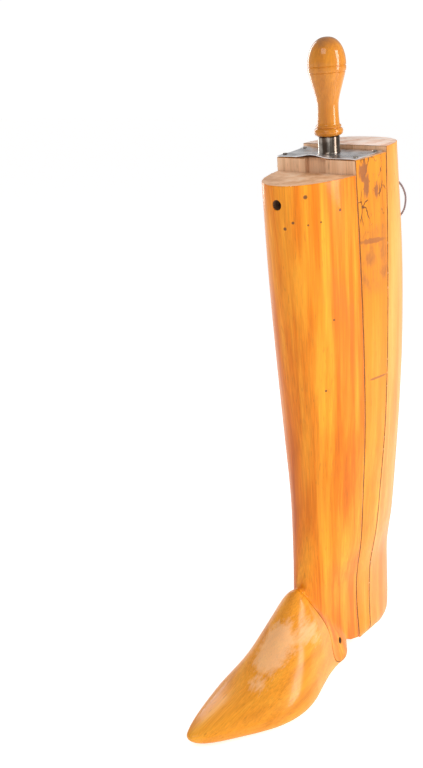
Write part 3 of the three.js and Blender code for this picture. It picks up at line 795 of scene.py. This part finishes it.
def polishedWood(name, grain, look, contrast=1.0, marks=None, wear=None, planes=()):
    material, tree, shader = newMaterial(name)
    colour, fibres = woodTone(tree, grain, look, contrast)
    colour = flecks(tree, grain, colour, look["fleck"])
    colour, holes = wormHoles(tree, colour, look["hole"])
    smear = noise(tree, mapped(tree, (30, 30, 12), grain, (5, 5, 5)), 4, 0.6)
    rough = grey(tree, smear, 0.3, 0.7, look["roughness"])
    if marks:
        colour, dug = marks(tree, colour)
        holes = calc(tree, "MAXIMUM", holes, dug)
    shader.inputs["Coat Weight"].default_value = look["coat"]
    if wear:                                # the polish is rubbed away
        colour, rough, bareness = wear(tree, colour, rough)
        tree.links.new(calc(tree, "MULTIPLY", calc(tree, "SUBTRACT", 1.0, bareness), look["coat"]),
                       shader.inputs["Coat Weight"])
    # painted shade along the joint lines
    if planes:
        colour = paintedGapShade(tree, colour, planes)
    tree.links.new(colour, shader.inputs["Base Color"])
    tree.links.new(rough, shader.inputs["Roughness"])
    shader.inputs["Specular IOR Level"].default_value = look["specular"]
    shader.inputs["Coat Roughness"].default_value = look["coatRoughness"]
    wavy = noise(tree, mapped(tree, (38, 38, 14), grain, (2, 8, 1)), 2, 0.5)
    bumps(tree, shader, [(wavy, 0.22, 0.0012), (fibres, 0.10, 0.0003),
                         (calc(tree, "SUBTRACT", 1.0, holes), 0.8, 0.0006)])
    return material


# Marks of use, in millimetres along the leg's frame: side, behind, up, radius.
shinMarks = {
    "dents": [(21.5, -22, 459, 1.5), (36, 5.6, 444, 1.1), (13, -28.4, 438.8, 1.0), (22.3, -20.7, 436, 0.7),
              (28.8, -11.6, 437, 0.7), (6.3, -30.6, 433.8, 1.2), (32.7, -2.6, 350.5, 0.9),
              (26.4, -9, 284.7, 1.0), (-20, -20, 380, 1.1), (-34, 4, 300, 0.9)],
    "dark": (0.20, 0.075, 0.018),
}
wedgeMarks = {
    "stain": (0.26, 0.085, 0.03), "crack": (0.06, 0.02, 0.01),
    # how ragged, where it starts and ends, how dark, then side, behind, up and half sizes
    "stained": [(1.5, 0.86, 1.2, 0.85, [(42, 33, 470, 9, 7, 11), (42, 37, 458, 9, 5, 13),
                                        (42, 51, 452, 9, 4, 9), (-42, 45, 462, 9, 8, 12)]),
                (1.2, 0.66, 1.0, 0.7, [(43, 44, 409.8, 12, 24, 3.2), (44, 50, 279.8, 12, 17, 1.6),
                                       (-43, 42, 350, 12, 20, 2.4)])],
    "mottle": (43, 45, 392, 60, 60, 34),
    "crackle": (43, 45, 458, 70, 50, 48),
}
footWearAndHighlight = {
    # the patches' pale colour is partly worn bare wood and partly a painted highlight
    "paleWearAndHighlight": (0.93, 0.60, 0.36), "tip": (0.42, 0.15, 0.03),
    # side, behind, up and half sizes, about the pin over the floor
    "patches": [(10, -79, 36, 22, 42, 34), (20, -52, 34, 16, 24, 28), (13, -110, 16, 17, 20, 16)],
    "toe": (-3, -197, -10, 16, 14, 16),
}


def dents(tree, colour):
    total = 0.0
    for side, behind, up, radius in shinMarks["dents"]:
        spot = zone(tree, (side, behind, up, *(2 * radius,) * 3), legFrame)
        total = calc(tree, "MAXIMUM", total, grey(tree, spot, 0.3, 0.6))
    return blend(tree, total, colour, shinMarks["dark"]), total


def stains(tree, colour):                   # old boot polish and damp on the wedge
    ragged = noise(tree, mapped(tree, (260, 260, 110), legGrain, (3, 3, 3)), 6, 0.8, 0.6)
    cloudy = noise(tree, mapped(tree, (95, 95, 60), legGrain, (8, 2, 5)), 4, 0.6)
    blots = 0.0
    for fray, start, full, dark, specs in wedgeMarks["stained"]:
        for spec in specs:
            frayed = calc(tree, "MULTIPLY", ragged, fray)
            reach = calc(tree, "ADD", zone(tree, spec, legFrame, legGrain), frayed)
            blots = calc(tree, "MAXIMUM", blots, grey(tree, reach, start, full, (0, dark)))
    mottle = grey(tree, zone(tree, wedgeMarks["mottle"], legFrame, legGrain), 0.0, 0.5)
    mottle = calc(tree, "MULTIPLY", mottle, grey(tree, cloudy, 0.42, 0.66, (0.1, 0.6)))
    colour = blend(tree, calc(tree, "MAXIMUM", blots, mottle), colour, wedgeMarks["stain"])
    warp = add(tree, "ShaderNodeTexNoise", {"Vector": mapped(tree, (130, 130, 80), legGrain), "Scale": 1.0,
                                            "Detail": 3.0}).outputs["Color"]
    cells = mapped(tree, (120, 120, 62), legGrain, (0.002, 0.001, 0.004))
    moved = add(tree, "ShaderNodeVectorMath", {0: cells, 1: warp}, operation="ADD").outputs[0]
    edge = add(tree, "ShaderNodeTexVoronoi", {"Vector": moved, "Scale": 1.0}, feature="DISTANCE_TO_EDGE")
    line = grey(tree, edge.outputs["Distance"], 0.02, 0.07, (1, 0))
    where = grey(tree, zone(tree, wedgeMarks["crackle"], legFrame, legGrain), 0.0, 0.35)
    patchy = grey(tree, noise(tree, mapped(tree, (75, 75, 45), legGrain, (2, 7, 1)), 3, 0.6), 0.47, 0.56)
    line = calc(tree, "MULTIPLY", calc(tree, "MULTIPLY", line, where), patchy)
    return blend(tree, calc(tree, "MULTIPLY", line, 0.85), colour, wedgeMarks["crack"]), line


# the rubbed instep, matt and paler, its paleness partly real wear and partly a painted highlight; the toe
# tip darker
def instepWearAndHighlight(tree, colour, rough):
    frayed = noise(tree, mapped(tree, (330, 330, 60), footGrain, (1, 2, 3)), 5, 0.7)
    soft = noise(tree, mapped(tree, (60, 60, 60), footGrain, (6, 1, 4)), 3, 0.6)
    bareness = 0.0
    for spec in footWearAndHighlight["patches"]:
        reach = calc(tree, "ADD", zone(tree, spec, legFrame), calc(tree, "MULTIPLY", frayed, 0.9))
        reach = calc(tree, "ADD", reach, calc(tree, "MULTIPLY", soft, 0.5))
        bareness = calc(tree, "MAXIMUM", bareness, grey(tree, reach, 0.82, 1.12))
    # pale patch: worn bare wood and painted highlight both
    colour = blend(tree, calc(tree, "MULTIPLY", bareness, 0.5), colour, footWearAndHighlight["paleWearAndHighlight"])
    toe = grey(tree, calc(tree, "ADD", zone(tree, footWearAndHighlight["toe"], floorFrame), soft), 0.4, 1.3, (0, 0.7))
    colour = blend(tree, toe, colour, footWearAndHighlight["tip"])
    return colour, grey(tree, bareness, 0, 1, (0.38, 0.6)), bareness


knobWear = {"top": (0, 46, 577, 22, 22, 20), "dirt": (0.27, 0.125, 0.06)}


def knobTop(tree, colour, rough):           # the end grain on the knob has taken up dirt
    top = zone(tree, knobWear["top"], legFrame)
    blotch = noise(tree, mapped(tree, (120, 120, 120)), 4, 0.6)
    dirt = grey(tree, calc(tree, "ADD", top, blotch), 0.7, 1.2, (0, 0.62))
    return blend(tree, dirt, colour, knobWear["dirt"]), rough, calc(tree, "MULTIPLY", dirt, 0.5)


def bareWood(name, grain, look):            # sawn faces that slide: matt, dirty, unpolished; with the dark look, also the painted shade inside holes and joints
    material, tree, shader = newMaterial(name)
    colour, fibres = woodTone(tree, grain, look, 1.2)
    colour = flecks(tree, grain, colour, look["fleck"], 0.5)
    dirt = noise(tree, mapped(tree, (40, 40, 25), grain, (7, 3, 1)), 5, 0.65)
    colour = blend(tree, grey(tree, dirt, 0.52, 0.75, (0, 0.6)), colour, look["dirt"])
    tree.links.new(colour, shader.inputs["Base Color"])
    shader.inputs["Roughness"].default_value = 0.62
    bumps(tree, shader, [(fibres, 0.35, 0.0004), (dirt, 0.15, 0.0008)])
    return material


def endGrain(name, look):                   # sawn across: pores and faint rings
    material, tree, shader = newMaterial(name)
    place = mapped(tree, (1, 1, 1))
    rings = add(tree, "ShaderNodeTexWave", {"Vector": place, "Scale": 90.0, "Distortion": 3.0, "Detail": 3.0,
                                            "Detail Scale": 1.2}, wave_type="RINGS", rings_direction="Z")
    pores = noise(tree, mapped(tree, (1500, 1500, 1500)), 2, 0.6)
    blotch = noise(tree, mapped(tree, (60, 60, 60), (0, 0, 0), (4, 4, 4)), 5, 0.6)
    colour = ramp(tree, blotch, [(0.35, look["deep"]), (0.52, look["mid"]), (0.68, look["light"])])
    colour = blend(tree, grey(tree, rings.outputs["Fac"], 0.2, 0.9, (0, 0.22)), colour, look["fleck"])
    colour = blend(tree, grey(tree, pores, 0.56, 0.7, (0, 0.4)), colour, look["fleck"])
    tree.links.new(colour, shader.inputs["Base Color"])
    shader.inputs["Roughness"].default_value = 0.55
    bumps(tree, shader, [(pores, 0.3, 0.0003), (blotch, 0.2, 0.0008)])
    return material


def metal(name, look):
    material, tree, shader = newMaterial(name)
    tarnish = noise(tree, mapped(tree, (90, 90, 90)), 5, 0.6, 0.4)
    scratch = noise(tree, mapped(tree, (160, 2600, 160), (0.3, 0.2, 0.5)), 2, 0.6)
    colour = ramp(tree, tarnish, [(0.35, look["dark"]), (0.6, look["bright"])])
    if "reflectionBands" in look:                     # painted reflection: dark bands running up the tube stand in for the dark surroundings it reflects
        reflectionBands = noise(tree, mapped(tree, (170, 170, 4), legGrain, (1, 3, 0)), 2, 0.5)
        colour = blend(tree, grey(tree, reflectionBands, 0.46, 0.54, (look["reflectionBands"], 0)), colour, look["reflectionDark"])
    tree.links.new(colour, shader.inputs["Base Color"])
    tree.links.new(grey(tree, calc(tree, "MULTIPLY", tarnish, scratch), 0.12, 0.4, look["roughness"]),
                   shader.inputs["Roughness"])
    shader.inputs["Metallic"].default_value = 1.0
    bumps(tree, shader, [(scratch, look["scratch"], 0.0001), (tarnish, look["dents"], 0.0012)])
    return material


def cordFibre():
    material, tree, shader = newMaterial("waxed cord")
    twist = add(tree, "ShaderNodeTexWave", {"Vector": mapped(tree, (1, 1, 1), (0.6, 0.7, 0.2)),
                                            "Scale": 420.0, "Distortion": 1.5, "Detail": 2.0}).outputs["Fac"]
    fuzz = noise(tree, mapped(tree, (3000, 3000, 3000)), 2, 0.6)
    colour = ramp(tree, calc(tree, "MULTIPLY", twist, fuzz), [(0.1, cordLook["dark"]),
                                                              (0.6, cordLook["light"])])
    tree.links.new(colour, shader.inputs["Base Color"])
    shader.inputs["Roughness"].default_value = 0.8
    shader.inputs["Sheen Weight"].default_value = 0.3
    bumps(tree, shader, [(twist, 0.8, 0.0003), (fuzz, 0.3, 0.0001)])
    return material


bare = {"deep": (0.66, 0.37, 0.20), "mid": (0.84, 0.52, 0.31), "light": (0.94, 0.66, 0.45),
        "fleck": (0.32, 0.16, 0.09), "dirt": (0.22, 0.115, 0.065)}
# painted shade: a dark wood look for the faces inside holes and joint gaps, where shade falls
paintedShade = {"deep": (0.05, 0.025, 0.014), "mid": (0.12, 0.06, 0.03), "light": (0.22, 0.12, 0.07),
         "fleck": (0.04, 0.02, 0.01), "dirt": (0.03, 0.016, 0.01)}
keyLook = {**bare, "mid": (0.60, 0.36, 0.19), "light": (0.74, 0.48, 0.28)}
footLook = {**honey, "deep": (0.58, 0.18, 0.008), "mid": (0.82, 0.31, 0.022), "light": (0.92, 0.45, 0.05),
            "coat": 0.3, "coatRoughness": 0.16}
sawnEnd = {"deep": (0.66, 0.34, 0.16), "mid": (0.88, 0.54, 0.32), "light": (0.95, 0.70, 0.50),
           "fleck": (0.46, 0.22, 0.10)}
paleEnd = {"deep": (0.74, 0.42, 0.28), "mid": (0.96, 0.78, 0.68), "light": (0.98, 0.88, 0.82),
           "fleck": (0.62, 0.32, 0.19)}
calfLook = {**honey, "deep": (0.58, 0.19, 0.02), "mid": (0.77, 0.29, 0.04), "light": (0.87, 0.41, 0.09)}
wedgeLook = {**honey, "deep": (0.52, 0.16, 0.006), "mid": (0.75, 0.25, 0.010), "light": (0.86, 0.37, 0.035),
             "roughness": (0.36, 0.55), "coat": 0.22}
handleLook = {**honey, "deep": (0.46, 0.135, 0.008), "mid": (0.60, 0.215, 0.016),
              "light": (0.70, 0.30, 0.035), "roughness": (0.22, 0.32), "coat": 0.6, "coatRoughness": 0.06}
tin = {"dark": (0.50, 0.49, 0.50), "bright": (0.84, 0.84, 0.86), "roughness": (0.24, 0.42),
       "scratch": 0.12, "dents": 0.2}
# the ferrule's steel; its dark bands are painted reflections
brightSteel = {"dark": (0.24, 0.205, 0.175), "bright": (0.56, 0.50, 0.44), "roughness": (0.12, 0.26),
               "reflectionBands": 0.85, "reflectionDark": (0.06, 0.035, 0.022), "scratch": 0.08, "dents": 0.05}
oldSteel = {"dark": (0.05, 0.035, 0.025), "bright": (0.22, 0.17, 0.13), "roughness": (0.35, 0.6),
            "scratch": 0.2, "dents": 0.3}


# which faces take which wood
# the third wood is painted shade: dark wood inside the holes and joints
endWood, sawnWood, paintedShadeWood = 1, 2, 3      # after the outer wood, in each piece's materials


def onPlane(face, plane):
    point, normal = plane
    away = (face.center - point).dot(normal)
    return abs(away) < 0.3 * mm and abs(face.normal.dot(normal)) > 0.97


def paint(piece, outer, topUp=None, planes=(), inside=None, end=None):
    piece.data.materials.clear()
    for material in (outer, end or endFaces, sawnFaces, paintedShadeFaces):
        piece.data.materials.append(material)
    top = topCut(topUp) if topUp else None
    toLeg = legFrame.inverted()
    for face in piece.data.polygons:
        within = inside(toLeg @ face.center) if inside else 0
        if within:
            face.material_index = within
        elif top and onPlane(face, top):
            face.material_index = endWood
        elif any(onPlane(face, plane) for plane in planes):
            face.material_index = sawnWood
        else:
            face.material_index = 0


def inShin(at):                             # the pull hole, the joint's faces and the pin's hole, which take the dark wood of painted shade
    up = at.z - (legShape["shinTop"] - pullHole["drop"])
    ahead = at.y - legAt(at.z)[1]
    if abs(at.x) < 4.35 and abs(up) < 12 and ahead > 1 and at.y < wedgeFront(at.z) - 0.5:
        return paintedShadeWood
    reach = math.hypot(at.y, at.z)
    if abs(at.x) < joint["tongueHalf"] + 0.45 and reach < joint["tongue"] + 3:
        return paintedShadeWood
    return paintedShadeWood if reach < 3 and abs(at.x) < joint["earHalfWidth"] + 3 else 0


def inFoot(at):                             # the faces that turn against the leg, which take the dark wood of painted shade
    reach = math.hypot(at.y, at.z)
    if reach < joint["ears"] + joint["play"] + 0.1:
        return paintedShadeWood
    line = joint["line"]
    for (y, z), (nextY, nextZ) in zip(line, line[1:]):
        if nextZ <= at.z <= z:
            edge = nextY + (y - nextY) * (at.z - nextZ) / (z - nextZ) - joint["play"]
            return paintedShadeWood if abs(at.y - edge) < 0.35 else 0
    return 0


def inWedge(at):                            # the dovetail grooves
    inFront = at.y < wedgeFront(at.z) + grooves["depth"] + 0.4
    atRear = at.y > wedgeRear(at.z) - grooves["depth"] - 0.4
    return sawnWood if abs(at.x) < grooves["mouth"] / 2 + 1.5 and (inFront or atRear) else 0


def recolour(nodeName, material):
    node = frame["nodes"][nodeName]
    node.data.materials.clear()
    node.data.materials.append(material)


# the stage
stage = {
    "floor": (0.76, 0.735, 0.735), "glow": 0.62, "world": (1.0, 0.998, 0.995),
    "worldStrength": (0.5, 1.05),          # as it lights the tree, and as it is seen behind it
    # place, size across and up, power, colour
    "softboxes": [((-1.15, 0.35, 0.75), (0.28, 1.1), 5.5, (1, 0.99, 0.97)),
                  ((1.32, 0.22, 0.8), (0.42, 1.2), 19, (1, 0.98, 0.95)),
                  ((0.2, -1.35, 1.4), (0.8, 0.5), 5, (1, 0.985, 0.96))],
    "aim": (0, -0.06, 0.27),
}


def makeStage():
    scene = bpy.context.scene
    scene.view_settings.view_transform = "Standard"
    world = bpy.data.worlds.new("studio")
    world.use_nodes = True
    background = world.node_tree.nodes["Background"]
    background.inputs["Color"].default_value = (*stage["world"], 1)
    seen = add(world.node_tree, "ShaderNodeLightPath").outputs["Is Camera Ray"]
    low, high = stage["worldStrength"]
    world.node_tree.links.new(grey(world.node_tree, seen, 0, 1, (low, high)), background.inputs["Strength"])
    scene.world = world
    deselectAll()
    bpy.ops.mesh.primitive_plane_add(size=60)
    floor = named("floor")
    material, tree, shader = newMaterial("floor")
    shader.inputs["Base Color"].default_value = (*stage["floor"], 1)
    shader.inputs["Roughness"].default_value = 0.8
    shader.inputs["Emission Color"].default_value = (1, 1, 1, 1)
    shader.inputs["Emission Strength"].default_value = stage["glow"]
    floor.data.materials.append(material)
    for place, (across, up), power, colour in stage["softboxes"]:
        data = bpy.data.lights.new("softbox", "AREA")
        data.shape = "RECTANGLE"
        data.size, data.size_y, data.energy, data.color = across, up, power, colour
        lamp = bpy.data.objects.new("softbox", data)
        lamp.location = place
        lamp.rotation_mode = "QUATERNION"
        lamp.rotation_quaternion = (Vector(stage["aim"]) - Vector(place)).to_track_quat("-Z", "Y")
        scene.collection.objects.link(lamp)


# making it
makeCamera()
cord = makeCord()
makeStage()
print("camera, cord and stage")

whole = makeWhole()
print("carved whole:", len(whole.data.polygons), "faces")
shin, forefoot, wedge, calf = makeShin(whole), makeForefoot(whole), makeWedge(whole), makeCalf(whole)
bpy.data.objects.remove(whole)
for piece in (shin, forefoot, wedge, calf):
    easeEdges(piece)
    smoothShade(piece)
    print(piece.name, len(piece.data.polygons))

frontPlane, rearPlane = wedgeCut(True, True, 0), wedgeCut(False, True, 0)
sawnFaces, endFaces = bareWood("sawn wood", legGrain, bare), endGrain("end grain", sawnEnd)
# painted shade for the faces inside the holes and joints
paintedShadeFaces = bareWood("sooty wood", legGrain, paintedShade)
paint(shin, polishedWood("shin wood", legGrain, honey, 1.3, marks=dents, planes=[frontPlane]),
      legShape["shinTop"], [wedgeCut(True, True, -legShape["play"])], inShin)
paint(forefoot, polishedWood("foot wood", footGrain, footLook, 0.7, wear=instepWearAndHighlight), inside=inFoot)
paint(wedge, polishedWood("wedge wood", legGrain, wedgeLook, marks=stains, planes=[frontPlane, rearPlane]),
      legShape["wedgeTop"],
      [wedgeCut(True, False, legShape["play"]), wedgeCut(False, True, -legShape["play"])], inWedge)
paint(calf, polishedWood("calf wood", legGrain, calfLook, planes=[rearPlane]), legShape["calfTop"],
      [wedgeCut(False, False, legShape["play"])], end=endGrain("pale end grain", paleEnd))

handle, ferrule, tinPlate = makeHandle(), makeFerrule(), makePlate()
handle.data.materials.append(polishedWood("handle wood", legGrain, handleLook, 0.8, wear=knobTop))
ferrule.data.materials.append(metal("ferrule steel", brightSteel))
tinPlate.data.materials.append(metal("tin", tin))
cord.data.materials.append(cordFibre())
for piece in (handle, ferrule, tinPlate):
    smoothShade(piece)

for piece, body, node, slot in [
        (shin, "shin", "shin_leg", "honey_wood"), (forefoot, "foot", "forefoot", "honey_wood"),
        (wedge, "wedge", "wedge", "wedge_wood"), (calf, "calf", "calf_leg", "honey_wood"),
        (handle, "wedge", "handle", "turned_wood"), (ferrule, "wedge", "ferrule", "polished_steel"),
        (tinPlate, "wedge", "wedge_plate", "tinplate")]:
    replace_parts(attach(piece, body), node)

screwSteel = metal("old steel", oldSteel)
keyWood = bareWood("key wood", legGrain, keyLook)
for nodeName in frame["nodes"]:
    if "screw" in nodeName or nodeName in ("hinge_pin", "handle_rod"):
        recolour(nodeName, screwSteel)
    elif "nail" in nodeName:
        recolour(nodeName, ferrule.data.materials[0])
    elif nodeName.endswith("_key"):
        recolour(nodeName, keyWood)
recolour("pin_plug", endFaces)
recolour("cord_knot", cord.data.materials[0])
print("materials")
